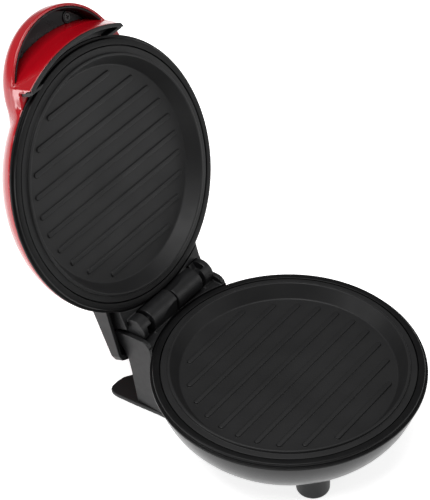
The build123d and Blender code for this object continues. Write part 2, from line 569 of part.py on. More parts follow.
# room for the base's knuckles in the deck
for a, b in BASEK:
    a2, b2 = a - KGAP, b + KGAP
    if b == KX0:
        a2, b2 = -KX2 + KGAP, KGAP * 0 + 0.0
    if a == KX2:
        a2, b2 = KX1 + 0.1, KX3 + 0.3
    bracket = bracket - cylx(TROUGH, a2, b2, AX_Y, LAX_Z)
    pts = [(AX_Y, LAX_Z)]
    for i in range(25):
        aa = deg(186 + (392 - 186) * i / 24)
        pts.append((AX_Y + 21.0 * math.cos(aa), LAX_Z + 21.0 * math.sin(aa)))
    bracket = bracket - prism_x(pts, a2, b2)
bracket = bracket - dome_env - rim_env
bracket = bracket - cylx(BORE_R, -PIN_X0 - 0.2, 60, AX_Y, LAX_Z)
for a, b in ((-KX1 - 0.4, 0.4), (KX2 - 0.4, KX3 + 0.4)):
    notch = cylx(TROUGH, a, b, AX_Y, LAX_Z)
    lid_bezel = lid_bezel - notch
    lid_shell = lid_shell - notch
bracket = bracket - pocket(262, 342, -EAR_X, -KX2 + 0.1, LAX_Z)
# keep only the piece that holds the hood
bs = sorted(bracket.solids(), key=lambda q: -q.volume)
lid_bracket = bs[0]
print("bracket solids", [round(q.volume, 1) for q in bs])

# ---------------------------------------------------------------- placement
LIFT = RIM_H
def to_row(shape, yoff):
    return Pos(0, yoff, LIFT) * shape


def lid_to_rim(shape):
    t = Pos(0, AX_Y, AX_Z) * Rot(-OPEN_DEG, 0, 0) * Pos(0, -AX_Y, -AX_Z + LID_GAP)
    return t * shape


base_nodes = dict(base_shell=base_shell, base_bezel=base_bezel, lower_plate=lower_plate, lower_element=lower_element,
                  lower_reflector=lower_reflector, lower_spacers=lower_spacers, lower_plate_screws=lower_plate_screws,
                  lower_thermostat=lower_thermostat, thermal_fuse=thermal_fuse, fuse_clip=fuse_clip,
                  terminal_block=terminal_block, hinge_tower=hinge_tower, hinge_pin=hinge_pin, rear_foot=rear_foot,
                  rear_foot_pads=rear_foot_pads, rear_foot_screws=rear_foot_screws, front_foot_left=front_foot_left,
                  front_foot_right=front_foot_right, front_foot_pads=front_foot_pads, cord_gland=cord_gland)
lid_nodes = dict(lid_shell=lid_shell, handle_visor=handle_visor, handle_insert=handle_insert, handle_screws=handle_screws, lid_bezel=lid_bezel,
                 lid_lip=lid_lip, upper_plate=upper_plate, upper_element=upper_element, upper_reflector=upper_reflector,
                 upper_spacers=upper_spacers, upper_plate_screws=upper_plate_screws,
                 upper_thermal_limiter=upper_thermal_limiter, lid_bracket=lid_bracket)

Y_SHIFT = -48.8025
os.makedirs("parts", exist_ok=True)
lo = [1e9] * 3
hi = [-1e9] * 3
placed = {}
for k, s in base_nodes.items():
    placed[k] = to_row(s, Y_SHIFT)
for k, s in lid_nodes.items():
    placed[k] = to_row(lid_to_rim(s), Y_SHIFT)
for k, s in placed.items():
    bb = s.bounding_box()
    for i, (a, b) in enumerate(((bb.min.X, bb.max.X), (bb.min.Y, bb.max.Y), (bb.min.Z, bb.max.Z))):
        lo[i] = min(lo[i], a)
        hi[i] = max(hi[i], b)
    export_step(s, f"parts/{k}.step")
print("box", [round(v, 3) for v in lo], [round(v, 3) for v in hi])
print("axis row frame", 0, AX_Y + Y_SHIFT, AX_Z + LIFT)
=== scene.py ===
import json
import math

import bmesh
import bpy
import numpy as np
from mathutils import Matrix, Vector


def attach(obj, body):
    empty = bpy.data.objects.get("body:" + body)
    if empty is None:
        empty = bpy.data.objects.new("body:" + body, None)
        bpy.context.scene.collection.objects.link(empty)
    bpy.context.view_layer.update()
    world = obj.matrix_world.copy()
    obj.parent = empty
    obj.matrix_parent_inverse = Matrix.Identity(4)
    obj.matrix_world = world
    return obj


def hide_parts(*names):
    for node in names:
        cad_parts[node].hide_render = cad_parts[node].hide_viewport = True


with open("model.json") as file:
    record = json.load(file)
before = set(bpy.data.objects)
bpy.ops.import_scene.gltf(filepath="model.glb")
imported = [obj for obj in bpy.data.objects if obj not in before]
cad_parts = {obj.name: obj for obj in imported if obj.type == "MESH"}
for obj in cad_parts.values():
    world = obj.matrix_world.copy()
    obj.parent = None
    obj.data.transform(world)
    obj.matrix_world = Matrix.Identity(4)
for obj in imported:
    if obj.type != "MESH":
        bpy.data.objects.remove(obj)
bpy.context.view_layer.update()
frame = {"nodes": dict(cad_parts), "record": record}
NODES = frame["nodes"]
COLL = bpy.context.scene.collection

# ------------------------------------------------------------ frame and sizes
# Millimetres in the two working frames of the design, turned into metres in
# the row frame by base_row and lid_row.
RIM_H, Y_SHIFT, AX_Y, AX_Z, LID_GAP, OPEN_DEG = 51.2, -48.8025, 86.6, 5.9, 8.0, 112.0
RIM_R = 80.0
CO, SO = math.cos(math.radians(-OPEN_DEG)), math.sin(math.radians(-OPEN_DEG))
LAX_Z = AX_Z - LID_GAP


def base_row(p):
    p = np.asarray(p, float)
    return np.stack([p[:, 0], p[:, 1] + Y_SHIFT, p[:, 2] + RIM_H], 1) * 0.001


def lid_row(p):
    p = np.asarray(p, float)
    ry, rz = p[:, 1] - AX_Y, p[:, 2] - LAX_Z
    return np.stack([p[:, 0], AX_Y + ry * CO - rz * SO + Y_SHIFT, AX_Z + ry * SO + rz * CO + RIM_H], 1) * 0.001


def lid_down(p):
    """A base-side point mirrored to face down in the lid, then placed."""
    p = np.array(p, float)
    p[:, 2] *= -1
    return lid_row(p)


# ------------------------------------------------------------------ mesh kit
def mesh_object(name, verts, faces, sharp=34.0):
    me = bpy.data.meshes.new(name)
    me.from_pydata([tuple(v) for v in verts], [], [tuple(f) for f in faces])
    me.validate()
    bm = bmesh.new()
    bm.from_mesh(me)
    bmesh.ops.remove_doubles(bm, verts=bm.verts, dist=2e-7)
    bmesh.ops.recalc_face_normals(bm, faces=bm.faces)
    bm.to_mesh(me)
    bm.free()
    finish_mesh(me, sharp)
    ob = bpy.data.objects.new(name, me)
    COLL.objects.link(ob)
    return ob


def finish_mesh(me, sharp):
    me.polygons.foreach_set("use_smooth", np.ones(len(me.polygons), bool))
    if sharp:
        me.set_sharp_from_angle(angle=math.radians(sharp))
    me.update()


def applied(ob, sharp=34.0):
    """The object with its modifiers baked into its mesh."""
    dg = bpy.context.evaluated_depsgraph_get()
    dg.update()
    me = bpy.data.meshes.new_from_object(ob.evaluated_get(dg), depsgraph=dg)
    ob.modifiers.clear()
    old = ob.data
    ob.data = me
    if old.users == 0:
        bpy.data.meshes.remove(old)
    finish_mesh(me, sharp)
    return ob


def rounded(pts, radii, seg=4):
    """Closed outline with its corners rounded; radii is one number or one per
    corner, cut down where an edge is too short."""
    n = len(pts)
    out = []
    for i in range(n):
        p = np.array(pts[i], float)
        a = np.array(pts[i - 1], float) - p
        b = np.array(pts[(i + 1) % n], float) - p
        la, lb = np.linalg.norm(a), np.linalg.norm(b)
        r = radii if isinstance(radii, (int, float)) else radii[i]
        if r <= 0 or la < 1e-9 or lb < 1e-9:
            out.append(tuple(p))
            continue
        a, b = a / la, b / lb
        cosang = float(np.clip(a @ b, -1, 1))
        half = math.acos(cosang) / 2
        if half > math.radians(88):
            out.append(tuple(p))
            continue
        t = min(r / math.tan(half), 0.45 * la, 0.45 * lb)
        rr = t * math.tan(half)
        c = p + (a + b) / np.linalg.norm(a + b) * (rr / math.sin(half))
        s, e = p + a * t - c, p + b * t - c
        a0 = math.atan2(s[1], s[0])
        da = math.atan2(e[1], e[0]) - a0
        while da > math.pi:
            da -= 2 * math.pi
        while da < -math.pi:
            da += 2 * math.pi
        for k in range(seg + 1):
            w = a0 + da * k / seg
            out.append((c[0] + rr * math.cos(w), c[1] + rr * math.sin(w)))
    return out


def lathe(prof, seg, x=0.0, y=0.0, closed=True):
    """Vertices and faces of an outline in (r, z) turned about a Z axis."""
    verts, faces, rings = [], [], []
    for r, z in prof:
        if r < 1e-6:
            rings.append((len(verts), 1))
            verts.append((x, y, z))
        else:
            rings.append((len(verts), seg))
            for k in range(seg):
                a = 2 * math.pi * k / seg
                verts.append((x + r * math.cos(a), y + r * math.sin(a), z))
    n = len(prof)
    for i in range(n if closed else n - 1):
        (s0, c0), (s1, c1) = rings[i], rings[(i + 1) % n]
        if c0 == 1 and c1 == 1:
            continue
        for k in range(seg):
            k2 = (k + 1) % seg
            if c0 == 1:
                faces.append((s0, s1 + k, s1 + k2))
            elif c1 == 1:
                faces.append((s0 + k, s1, s0 + k2))
            else:
                faces.append((s0 + k, s1 + k, s1 + k2, s0 + k2))
    return verts, faces


def add(parts):
    """Several (verts, faces) as one."""
    verts, faces = [], []
    for v, f in parts:
        o = len(verts)
        verts += list(v)
        faces += [tuple(i + o for i in q) for q in f]
    return verts, faces


def slot_loft(half, levels, cy, seg=12):
    """A rib: stadium outlines of growing height, about a centreline along X.
    levels is (radius, height) from the outside in."""
    verts, faces = [], []
    m = 2 * (seg + 1)
    for rad, h in levels:
        for s in (1, -1):
            for k in range(seg + 1):
                a = -math.pi / 2 + math.pi * k / seg + (0 if s > 0 else math.pi)
                verts.append((s * half + rad * math.cos(a), cy + rad * math.sin(a), h))
    for i in range(len(levels) - 1):
        for k in range(m):
            k2 = (k + 1) % m
            faces.append((i * m + k, i * m + k2, (i + 1) * m + k2, (i + 1) * m + k))
    top = (len(levels) - 1) * m
    # cap in strips across the rib, so that it stays flat
    for k in range(seg):
        a0, a1 = top + k, top + k + 1
        b0, b1 = top + m - 1 - k, top + m - 2 - k
        faces.append((a0, a1, b1, b0))
    bot = 0
    for k in range(seg):
        a0, a1 = bot + k, bot + k + 1
        b0, b1 = bot + m - 1 - k, bot + m - 2 - k
        faces.append((a1, a0, b0, b1))
    return verts, faces


def boolean(ob, cutters, op="DIFFERENCE"):
    for c in cutters:
        m = ob.modifiers.new("cut", "BOOLEAN")
        m.operation = op
        m.solver = "EXACT"
        m.object = c
    applied(ob)
    for c in cutters:
        bpy.data.objects.remove(c)
    return ob


def soften(node, voxel, rounds, name, keep=0.5, factor=0.5):
    """A moulded version of a CAD node: its edges eased as a mould leaves
    them, on an even mesh."""
    src = NODES[node]
    me = src.data.copy()
    bm = bmesh.new()
    bm.from_mesh(me)
    bmesh.ops.remove_doubles(bm, verts=bm.verts, dist=1e-6)
    bm.to_mesh(me)
    bm.free()
    me.materials.clear()
    ob = bpy.data.objects.new(name, me)
    COLL.objects.link(ob)
    m = ob.modifiers.new("vox", "REMESH")
    m.mode = "VOXEL"
    m.voxel_size = voxel
    m.adaptivity = 0.0
    s = ob.modifiers.new("sm", "SMOOTH")
    s.factor = factor
    s.iterations = rounds
    if keep < 1:
        d = ob.modifiers.new("dec", "DECIMATE")
        d.ratio = keep
    applied(ob, sharp=50.0)
    return ob


# ------------------------------------------------- distance fields for shells
def smin(a, b, k):
    h = np.maximum(k - np.abs(a - b), 0.0) / k
    return np.minimum(a, b) - h * h * k * 0.25


def smax(a, b, k):
    return -smin(-a, -b, k)


def ellipsoid(r, z, rx, rz):
    k0 = np.sqrt((r / rx) ** 2 + (z / rz) ** 2)
    k1 = np.sqrt((r / rx ** 2) ** 2 + (z / rz ** 2) ** 2)
    return k0 * (k0 - 1.0) / np.maximum(k1, 1e-6)


def net(field, lo, hi, h):
    """Closed quad mesh on the zero level of a field, its vertices pulled onto
    the surface."""
    n = [int(math.ceil((b - a) / h)) + 1 for a, b in zip(lo, hi)]
    ax = [lo[i] + h * np.arange(n[i]) for i in range(3)]
    val = np.empty(n, np.float32)
    for k in range(n[0]):
        Y, Z = np.meshgrid(ax[1], ax[2], indexing="ij")
        val[k] = field(np.full_like(Y, ax[0][k]), Y, Z)
    inside = val < 0
    cells = tuple(m - 1 for m in n)
    cnt = np.zeros(cells, np.int8)
    acc = np.zeros(cells + (3,), np.float32)
    rng = (0, 1)

    def sl(o, ext):
        return tuple(slice(o[i], o[i] + ext[i]) for i in range(3))

    for a in range(3):
        b, c = (a + 1) % 3, (a + 2) % 3
        for ob_ in rng:
            for oc in rng:
                o0 = [0, 0, 0]
                o0[b], o0[c] = ob_, oc
                o1 = list(o0)
                o1[a] = 1
                v0, v1 = val[sl(o0, cells)], val[sl(o1, cells)]
                cross = (v0 < 0) != (v1 < 0)
                with np.errstate(divide="ignore", invalid="ignore"):
                    t = np.where(cross, v0 / (v0 - v1), 0).astype(np.float32)
                cnt += cross
                acc[..., a] += t
                acc[..., b] += cross * np.float32(ob_)
                acc[..., c] += cross * np.float32(oc)
    act = cnt > 0
    idx = np.full(cells, -1, np.int64)
    ijk = np.argwhere(act)
    idx[act] = np.arange(len(ijk))
    p = ijk + acc[act] / cnt[act][:, None]
    p = np.array(lo) + p * h
    start = p.copy()

    def f(q):
        return field(q[:, 0], q[:, 1], q[:, 2])

    e = 0.02
    for _ in range(4):
        d = f(p)
        g = np.stack([(f(p + np.eye(3)[i] * e) - f(p - np.eye(3)[i] * e)) / (2 * e) for i in range(3)], 1)
        g2 = np.maximum((g * g).sum(1), 0.05)
        step = -g * (d / g2)[:, None]
        ln = np.linalg.norm(step, axis=1)
        step *= np.minimum(1.0, 0.5 * h / np.maximum(ln, 1e-9))[:, None]
        p = p + step
        off = p - start
        lo_ = np.linalg.norm(off, axis=1)
        p = start + off * np.minimum(1.0, 0.9 * h / np.maximum(lo_, 1e-9))[:, None]
    quads = []
    for a in range(3):
        b, c = (a + 1) % 3, (a + 2) % 3
        ext = [m - 2 for m in n]
        ext[a] = n[a] - 1
        o = [1, 1, 1]
        o[a] = 0
        o1 = list(o)
        o1[a] = 1
        s0, s1 = inside[sl(o, ext)], inside[sl(o1, ext)]
        for flip, m in ((False, s0 & ~s1), (True, ~s0 & s1)):
            e_ = np.argwhere(m) + np.array(o)
            if not len(e_):
                continue
            q = []
            for db, dc in ((0, 0), (1, 0), (1, 1), (0, 1)):
                w = e_.copy()
                w[:, b] -= db
                w[:, c] -= dc
                q.append(idx[w[:, 0], w[:, 1], w[:, 2]])
            q = np.stack(q, 1)
            quads.append(q[:, ::-1] if flip else q)
    return p, np.concatenate(quads)


def net_object(name, p, quads, sharp):
    me = bpy.data.meshes.new(name)
    me.vertices.add(len(p))
    me.vertices.foreach_set("co", np.asarray(p, np.float32).ravel())
    me.loops.add(quads.size)
    me.loops.foreach_set("vertex_index", quads.ravel().astype(np.int32))
    me.polygons.add(len(quads))
    me.polygons.foreach_set("loop_start", (np.arange(len(quads)) * 4).astype(np.int32))
    me.update(calc_edges=True)
    me.validate()
    bm = bmesh.new()
    bm.from_mesh(me)
    bmesh.ops.recalc_face_normals(bm, faces=bm.faces)
    bm.to_mesh(me)
    bm.free()
    finish_mesh(me, sharp)
    ob = bpy.data.objects.new(name, me)
    COLL.objects.link(ob)
    return ob


# --------------------------------------------------------------- materials
def material(name, base, rough, metallic=0.0, spec=0.5, coat=0.0, coat_rough=0.05,
             tint=0.12, tint_scale=40.0, rough_var=0.06, rough_scale=120.0,
             bump=0.0, bump_scale=2500.0, bump_mm=0.02, cells=False, sheen=0.0, peel=0.0):
    m = bpy.data.materials.new(name)
    m.use_nodes = True
    nt = m.node_tree
    nt.nodes.clear()
    out = nt.nodes.new("ShaderNodeOutputMaterial")
    bs = nt.nodes.new("ShaderNodeBsdfPrincipled")
    nt.links.new(bs.outputs[0], out.inputs[0])
    bs.inputs["Metallic"].default_value = metallic
    bs.inputs["Specular IOR Level"].default_value = spec
    bs.inputs["Coat Weight"].default_value = coat
    bs.inputs["Coat Roughness"].default_value = coat_rough
    bs.inputs["Sheen Weight"].default_value = sheen
    co = nt.nodes.new("ShaderNodeTexCoord")
    n1 = nt.nodes.new("ShaderNodeTexNoise")
    n1.inputs["Scale"].default_value = tint_scale
    n1.inputs["Detail"].default_value = 5.0
    n1.inputs["Roughness"].default_value = 0.6
    nt.links.new(co.outputs["Object"], n1.inputs["Vector"])
    cr = nt.nodes.new("ShaderNodeValToRGB")
    cr.color_ramp.elements[0].position = 0.3
    cr.color_ramp.elements[1].position = 0.7
    lo = [c * (1 - tint) for c in base]
    hi = [min(1.0, c * (1 + tint)) for c in base]
    cr.color_ramp.elements[0].color = (*lo, 1)
    cr.color_ramp.elements[1].color = (*hi, 1)
    nt.links.new(n1.outputs["Fac"], cr.inputs["Fac"])
    nt.links.new(cr.outputs["Color"], bs.inputs["Base Color"])
    n2 = nt.nodes.new("ShaderNodeTexNoise")
    n2.inputs["Scale"].default_value = rough_scale
    n2.inputs["Detail"].default_value = 6.0
    nt.links.new(co.outputs["Object"], n2.inputs["Vector"])
    mr = nt.nodes.new("ShaderNodeMapRange")
    mr.inputs["From Min"].default_value = 0.3
    mr.inputs["From Max"].default_value = 0.7
    mr.inputs["To Min"].default_value = max(0.02, rough - rough_var)
    mr.inputs["To Max"].default_value = min(1.0, rough + rough_var)
    nt.links.new(n2.outputs["Fac"], mr.inputs["Value"])
    nt.links.new(mr.outputs["Result"], bs.inputs["Roughness"])
    prev = None
    if bump > 0:
        if cells:
            t = nt.nodes.new("ShaderNodeTexVoronoi")
            t.inputs["Scale"].default_value = bump_scale
            src = t.outputs["Distance"]
        else:
            t = nt.nodes.new("ShaderNodeTexNoise")
            t.inputs["Scale"].default_value = bump_scale
            t.inputs["Detail"].default_value = 3.0
            src = t.outputs["Fac"]
        nt.links.new(co.outputs["Object"], t.inputs["Vector"])
        b = nt.nodes.new("ShaderNodeBump")
        b.inputs["Strength"].default_value = bump
        b.inputs["Distance"].default_value = bump_mm * 0.001
        nt.links.new(src, b.inputs["Height"])
        prev = b
    if peel > 0:
        t = nt.nodes.new("ShaderNodeTexNoise")
        t.inputs["Scale"].default_value = 160.0
        t.inputs["Detail"].default_value = 1.0
        nt.links.new(co.outputs["Object"], t.inputs["Vector"])
        b = nt.nodes.new("ShaderNodeBump")
        b.inputs["Strength"].default_value = peel
        b.inputs["Distance"].default_value = 0.00003
        nt.links.new(t.outputs["Fac"], b.inputs["Height"])
        if prev is not None:
            nt.links.new(prev.outputs["Normal"], b.inputs["Normal"])
        prev = b
    if prev is not None:
        nt.links.new(prev.outputs["Normal"], bs.inputs["Normal"])
        if coat > 0 and peel > 0:
            nt.links.new(prev.outputs["Normal"], bs.inputs["Coat Normal"])
    return m


MAT = {
    "red_gloss": material("red_gloss", (0.30, 0.0016, 0.006), 0.24, spec=0.36, coat=0.55, coat_rough=0.04, tint=0.06,
                          tint_scale=25, rough_var=0.03, peel=0.2),
    "bowl_gloss": material("bowl_gloss", (0.0045, 0.0045, 0.005), 0.22, spec=0.33, tint=0.15,
                           rough_var=0.04, peel=0.2),
    "satin_black": material("satin_black", (0.0068, 0.0068, 0.0072), 0.44, spec=0.3, tint=0.2, rough_var=0.06,
                            rough_scale=300, bump=0.35, bump_scale=2600, bump_mm=0.02),
    "bezel_black": material("bezel_black", (0.0032, 0.0032, 0.0034), 0.38, spec=0.16, tint=0.2, rough_var=0.05,
                            rough_scale=200, bump=0.2, bump_scale=2600, bump_mm=0.015),
    "liner_black": material("liner_black", (0.0042, 0.0036, 0.0046), 0.28, spec=0.26, tint=0.2, rough_var=0.05,
                            rough_scale=160, bump=0.12, bump_scale=2600, bump_mm=0.012),
    "nonstick": material("nonstick", (0.0095, 0.0095, 0.0098), 0.50, spec=0.235, tint=0.22, tint_scale=18, rough_var=0.07,
                         rough_scale=45, bump=0.5, bump_scale=1500, bump_mm=0.03),
    "steel": material("steel", (0.52, 0.52, 0.54), 0.32, metallic=1.0, tint=0.08, rough_var=0.08,
                      rough_scale=600, bump=0.1, bump_scale=3000, bump_mm=0.01),
    "black_screw": material("black_screw", (0.012, 0.012, 0.013), 0.33, metallic=0.0, spec=0.6, tint=0.2, rough_var=0.08,
                            rough_scale=600, bump=0.1, bump_scale=3000, bump_mm=0.01),
    "insulator": material("insulator", (0.60, 0.55, 0.46), 0.62, tint=0.1, rough_var=0.06, bump=0.3,
                          bump_scale=1800, bump_mm=0.02),
    "rubber_pad": material("rubber_pad", (0.02, 0.02, 0.02), 0.78, tint=0.2, rough_var=0.06, bump=0.5,
                           bump_scale=1800, bump_mm=0.03),
}


def dress(ob, mat):
    ob.data.materials.clear()
    ob.data.materials.append(MAT[mat])


def piece(ob, body, nodes, mat):
    dress(ob, mat)
    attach(ob, body)
    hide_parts(*nodes)
    return ob


# ----------------------------------------------------------- cooking plates
FLOOR_R, FLOOR_Z, PLATE_T, BEAD_RI, BEAD_RO, BEAD_TOP = 63.2, -5.5, 2.4, 68.4, 70.0, 2.8
PLATE_RO, PLATE_TOP = 73.9, 1.1
RIB_PITCH, RIB_W, RIB_H, RIB_END_R = 11.56, 3.2, 0.9, 58.8


def plate_parts():
    pts = [(FLOOR_R, FLOOR_Z), (BEAD_RI, BEAD_TOP), (BEAD_RO, BEAD_TOP), (BEAD_RO + 0.1, PLATE_TOP),
           (PLATE_RO, PLATE_TOP), (PLATE_RO, -1.3), (BEAD_RO - 1.0, -1.3), (FLOOR_R + 1.6, FLOOR_Z - PLATE_T),
           (0, FLOOR_Z - PLATE_T), (0, FLOOR_Z)]
    rad = [1.3, 0.75, 0.7, 0.35, 0.35, 0.3, 2.0, 2.0, 0, 0]
    prof = rounded(pts, rad, 6)
    fine = []
    for i, p in enumerate(prof):
        q = prof[(i + 1) % len(prof)]
        fine.append(p)
        d = math.hypot(q[0] - p[0], q[1] - p[1])
        if d > 12 and (p[0] > 1e-6 or q[0] > 1e-6):
            k = int(d / 8)
            fine += [(p[0] + (q[0] - p[0]) * j / k, p[1] + (q[1] - p[1]) * j / k) for j in range(1, k)]
    parts = [lathe(fine, 288)]
    w = RIB_W / 2
    lev = [(w + 0.42, -0.08), (w + 0.28, 0.0), (w + 0.17, 0.04), (w + 0.08, 0.14), (w + 0.0, 0.36), (w - 0.07, 0.60),
           (w - 0.17, 0.77), (w - 0.36, 0.86), (w - 0.62, RIB_H)]
    for k in range(5):
        y = RIB_PITCH * (k + 0.5)
        half = math.sqrt(RIB_END_R ** 2 - y ** 2) - w
        for s in (-1, 1):
            parts.append(slot_loft(half, [(r, FLOOR_Z + h) for r, h in lev], s * y))
    zb = FLOOR_Z - PLATE_T
    for a in (90, 210, 330):
        x, y = 31 * math.cos(math.radians(a)), 31 * math.sin(math.radians(a))
        parts.append(lathe(rounded([(1.45, zb + 0.3), (4.4, zb + 0.3), (4.2, zb - 5.6), (1.45, zb - 5.6)], 0.3, 3), 32, x, y))
    return parts


for tag, place, body in (("lower", base_row, "base"), ("upper", lid_down, "lid")):
    v, f = add(plate_parts())
    ob = mesh_object(tag + "_plate_ribbed", place(v), f, sharp=40)
    piece(ob, body, [tag + "_plate"], "nonstick")

# -------------------------------------------------------------------- rings
BEZ_RI, BEZ_RO, BEZ_TOP, FLANGE_TOP, FLANGE_BOT = 74.4, 78.4, 1.3, -0.9, -2.2


def ring_profile():
    pts = [(BEZ_RI, -1.5), (BEZ_RI, BEZ_TOP), (BEZ_RO, BEZ_TOP), (BEZ_RO, FLANGE_TOP),
           (RIM_R, FLANGE_TOP), (RIM_R, FLANGE_BOT), (75.3, FLANGE_BOT), (75.3, -5.4), (74.0, -5.4),
           (74.0, -3.2), (70.6, -3.2), (70.6, -1.5)]
    rad = [0, 0.45, 0.8, 0.25, 0.4, 0.3, 0, 0.2, 0.2, 0, 0.2, 0.2]
    return rounded(pts, rad, 5)


def xcyl(r, x0, x1, place, z):
    n = 64
    v = [(x, AX_Y + r * math.cos(2 * math.pi * k / n), z + r * math.sin(2 * math.pi * k / n)) for x in (x0, x1) for k in range(n)]
    f = [(k, (k + 1) % n, n + (k + 1) % n, n + k) for k in range(n)] + [tuple(range(n))[::-1], tuple(range(n, 2 * n))]
    return mesh_object("cutter", place(v), f, sharp=0)


def box_cutter(x0, x1, y0, y1, z0, z1, place):
    v = [(x, y, z) for x in (x0, x1) for y in (y0, y1) for z in (z0, z1)]
    f = [(0, 1, 3, 2), (4, 6, 7, 5), (0, 4, 5, 1), (2, 3, 7, 6), (0, 2, 6, 4), (1, 5, 7, 3)]
    return mesh_object("cutter", place(v), f, sharp=0)


v, f = lathe(ring_profile(), 288)
ob = mesh_object("base_ring", base_row(v), f, sharp=40)
piece(ob, "base", ["base_bezel"], "bezel_black")

v, f = lathe(ring_profile(), 288)
ob = mesh_object("lid_ring", lid_down(v), f, sharp=40)
NOTCH = [(-23.1, 0.4), (22.3, 33.6)]
boolean(ob, [xcyl(8.3, a, b, lid_row, LAX_Z) for a, b in NOTCH])
piece(ob, "lid", ["lid_bezel"], "bezel_black")

# --------------------------------------------------------------------- bowl
WALL, BOWL_RX, BOWL_RZ, BOWL_Z0, BOWL_FLOOR = 2.2, 78.0, 51.2, -1.6, -43.5


def bowl_points(off, floor):
    rx, rz = BOWL_RX - off, BOWL_RZ - off
    tj = math.radians(40)
    px, pz = rx * math.cos(tj), BOWL_Z0 - rz * math.sin(tj)
    nx, nz = -math.cos(tj) / rx, math.sin(tj) / rz
    nl = math.hypot(nx, nz)
    nx, nz = nx / nl, nz / nl
    rho = (pz - floor) / (1 - nz)
    cx, cz = px + rho * nx, pz + rho * nz
    a0 = math.atan2(-nz, -nx)
    pts = [(rx * math.cos(math.radians(q)), BOWL_Z0 - rz * math.sin(math.radians(q))) for q in
           (0.9, 2.2, 4, 6, 8, 10, 12, 14, 16, 18, 20, 22, 24, 26, 28, 30, 32, 34, 36, 38)]
    for i in range(0, 17):
        t = a0 + (-math.pi / 2 - a0) * i / 16
        pts.append((cx + rho * math.cos(t), cz + rho * math.sin(t)))
    return pts


outer = [(78.35, FLANGE_BOT)] + bowl_points(0.0, BOWL_FLOOR) + [(30, BOWL_FLOOR), (0, BOWL_FLOOR)]
inner = [(76.2, FLANGE_BOT)] + bowl_points(WALL, BOWL_FLOOR + WALL) + [(30, BOWL_FLOOR + WALL), (0, BOWL_FLOOR + WALL)]
v, f = lathe(outer + inner[::-1], 240)
ob = mesh_object("bowl_shell", base_row(v), f, sharp=40)
cut = []
for x in (-12, -6, 0, 6, 12):
    n = 12
    ring = [(x + math.cos(math.pi * k / n), 9 + math.sin(math.pi * k / n)) for k in range(n + 1)] + \
           [(x - math.cos(math.pi * k / n), -9 - math.sin(math.pi * k / n)) for k in range(n + 1)]
    m = len(ring)
    v = [(a, b, z) for z in (BOWL_FLOOR - 1, BOWL_FLOOR + WALL + 1) for a, b in ring]
    f = [(k, (k + 1) % m, m + (k + 1) % m, m + k) for k in range(m)] + [tuple(range(m))[::-1], tuple(range(m, 2 * m))]
    cut.append(mesh_object("cutter", base_row(v), f, sharp=0))
cut.append(box_cutter(-9, 9, 60, 80, -26, -16, base_row))
boolean(ob, cut)
piece(ob, "base", ["base_shell"], "bowl_gloss")

# ---------------------------------------------------------------- lid shell
DOME_H, VIS_Y, VIS_R, VIS_Z0, VIS_Z1, VIS_B = 40.0, -61.4, 43.8, 6.4, 8.4, 17.4
PED_R0, PED_R1, LIP_Z, CEIL_Z = 86.9, 89.6, -6.0, 15.2
DRAFT = 1.8
SLOPE = (PED_R1 - PED_R0) / (CEIL_Z - LIP_Z)
CN = math.sqrt(1 + SLOPE * SLOPE)
SPLAY = []
for s in (-1, 1):
    pa = np.array([s * 38.4, -80.4, 6.4])
    pb = np.array([s * 34.6, -79.8, LIP_Z])
    pc = np.array([s * 40.4, -76.9, LIP_Z])
    nr = np.cross(pb - pa, pc - pa)
    nr /= np.linalg.norm(nr)
    if nr[1] > 0:
        nr = -nr
    SPLAY.append(((pa + pb + pc) / 3, nr, s))


def superdome(rv, z, dr, db):
    R, B = VIS_R - dr, VIS_B - db
    a = rv / R
    b = np.maximum(z - VIS_Z1, 0) / B
    g = np.maximum((a ** 3 + b ** 3), 1e-9) ** (1 / 3)
    gr = np.sqrt((a * a / R) ** 2 + (b * b / B) ** 2) / (g * g)
    return (g - 1) / np.maximum(gr, 0.35 / R)


def lid_field(x, y, z):
    r = np.hypot(x, y)
    rv = np.hypot(x, y - VIS_Y)
    dome = ellipsoid(r, z, 80.0, DOME_H)
    dome = smax(dome, 2.2 - z, 0.8)
    vis = smax(superdome(rv, z, 0, 0), VIS_Z0 - z, 1.0)
    cone = (r - (PED_R0 + SLOPE * (z - LIP_Z))) / CN
    lean = DRAFT * np.clip((VIS_Z0 - z) / (VIS_Z0 - LIP_Z), 0.0, 1.0)
    block = np.maximum(rv - (VIS_R - lean), cone)
    for p, nr, s in SPLAY:
        pl = (x - p[0]) * nr[0] + (y - p[1]) * nr[1] + (z - p[2]) * nr[2]
        pl = np.maximum(pl, -100.0) - np.where((s * x > 24) & (z < 7.5), 0.0, 1e3)
        block = smax(block, pl, 0.5)
    block = np.maximum(block, z - 9.0)
    block = smax(block, LIP_Z - z, 0.5)
    block = np.maximum(block, np.minimum(y + 73.8, 1e3) - np.where(z < 2.2, 0.0, 1e3))
    body = smin(dome, vis, 5.0)
    body = smin(body, block, 0.6)
    body = np.maximum(body, -np.maximum(r - 85.7, z - 2.2))
    hollow = ellipsoid(r, z, 80.0 - WALL, DOME_H - WALL)
    core = np.maximum(np.maximum(superdome(rv, z, WALL, WALL), cone + WALL), np.maximum(4.6 - z, z - 17.2))
    vin = np.maximum(superdome(rv, z, 1.7, 1.8), CEIL_Z + 1.9 - z)
    hollow = np.minimum(np.minimum(hollow, core), vin)
    body = np.maximum(body, -hollow)
    rec = np.maximum(np.maximum(superdome(rv, z, 1.7, 1.8), z - (CEIL_Z + 2.0)), np.maximum(-cone, y + 70.0))
    body = smax(body, -rec, 0.7)
    for a, b in NOTCH:
        nt_ = np.maximum(np.hypot(y - AX_Y, z - LAX_Z) - 8.3, np.abs(x - (a + b) / 2) - (b - a) / 2)
        body = np.maximum(body, -nt_)
    return body


p, q = net(lid_field, (-82.4, -107.2, -7.5), (82.4, 82.4, 42.0), 0.8)
ob = net_object("lid_dome", lid_row(p), q, 48)
piece(ob, "lid", ["lid_shell", "handle_visor"], "red_gloss")


